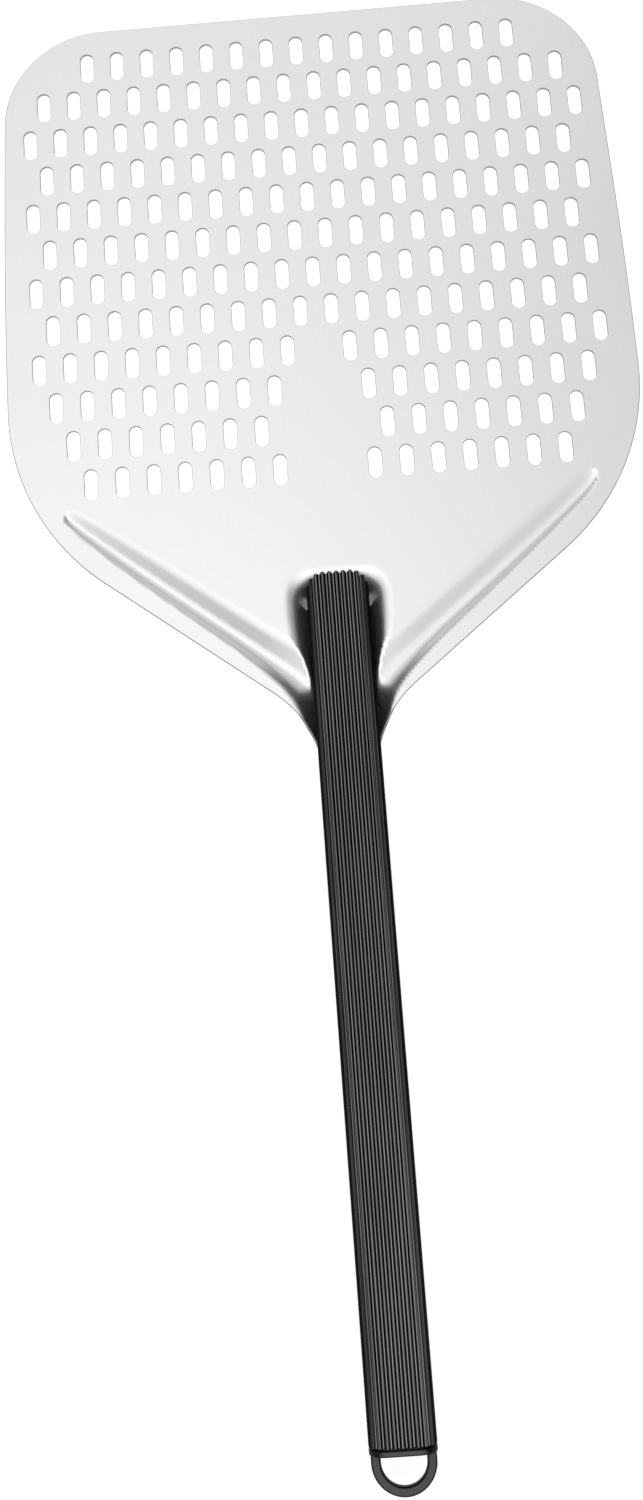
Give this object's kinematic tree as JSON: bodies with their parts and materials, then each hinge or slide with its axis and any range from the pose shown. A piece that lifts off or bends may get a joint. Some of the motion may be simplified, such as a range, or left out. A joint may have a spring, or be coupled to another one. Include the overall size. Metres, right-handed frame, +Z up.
{
  "type": "pizza peel",
  "caption": "Perforated sheet-metal pizza peel with rounded corners, sloping ribbed shoulders, a fluted tube handle riveted into a pressed trough, and a hanging loop.",
  "frame": {"origin": "middle of the overall length and width, at the height of the lowest points, which are the rivet heads under the trough", "axes": "+Y along the handle towards the blade's front edge, +X across the blade, +Z up out of the blade's upper face"},
  "size_m": [0.302, 0.6952, 0.0217],
  "materials": {
    "blade_sheet": "satin, clear anodised",
    "handle_black": "satin, black anodised",
    "cap_plastic": "moulded, fine texture",
    "rivet_shell": "plain",
    "mandrel_steel": "zinc plated"
  },
  "bodies": {
    "root": {"blade": "blade_sheet", "handle_tube": "handle_black", "end_cap": "cap_plastic", "rivet_front": "rivet_shell", "rivet_middle": "rivet_shell", "rivet_rear": "rivet_shell", "mandrel_front": "mandrel_steel", "mandrel_middle": "mandrel_steel", "mandrel_rear": "mandrel_steel"}
  },
  "joints": []
}
